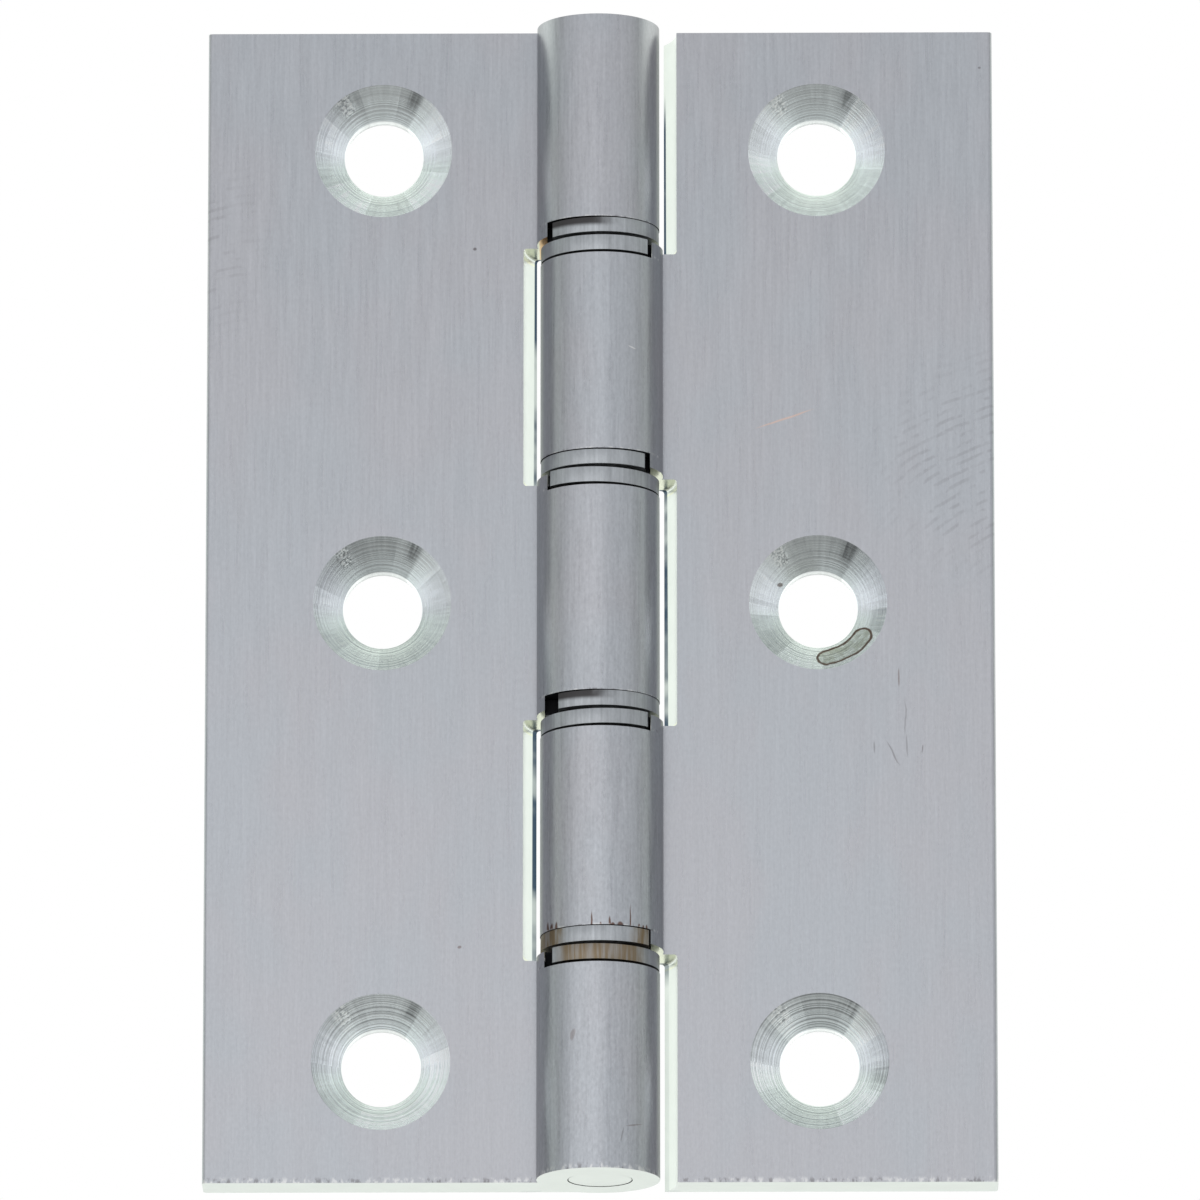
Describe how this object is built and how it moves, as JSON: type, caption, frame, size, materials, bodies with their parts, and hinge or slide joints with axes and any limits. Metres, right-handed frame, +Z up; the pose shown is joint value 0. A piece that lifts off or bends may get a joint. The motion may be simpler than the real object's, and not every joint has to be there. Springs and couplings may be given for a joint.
{
  "type": "door hinge",
  "caption": "Solid-drawn butt hinge with a double-washered knuckle and countersunk leaves, satin chrome finish, stored opened flat with its hinge joint.",
  "frame": {"origin": "middle of the hinge pin, on its axis, which is also the middle of the bounding box", "axes": "+Z up along the pin as hung on a door, +X towards the right leaf's outer edge, +Y towards the flat backs of the leaves; the countersunk faces and the proud knuckle face -Y"},
  "size_m": [0.0508, 0.0078, 0.0762],
  "materials": {
    "satin_chrome": "satin chrome plate, brushed along the knuckle, over drawn brass",
    "plated_pin": "turned steel pin, ground flush at the ends",
    "washer_steel": "plain steel washers, lightly rust-stained"
  },
  "bodies": {
    "left": {"left_leaf": "satin_chrome", "hinge_pin": "plated_pin", "washer_1_left": "washer_steel", "washer_2_left": "washer_steel", "washer_3_left": "washer_steel", "washer_4_left": "washer_steel"},
    "right": {"right_leaf": "satin_chrome", "washer_1_right": "washer_steel", "washer_2_right": "washer_steel", "washer_3_right": "washer_steel", "washer_4_right": "washer_steel"}
  },
  "joints": [
    {"name": "knuckle_hinge", "type": "hinge", "parent": "left", "child": "right", "pos_m": [0, 0, 0], "axis": [0, 0, 1], "range_deg": [-180, 90]}
  ]
}
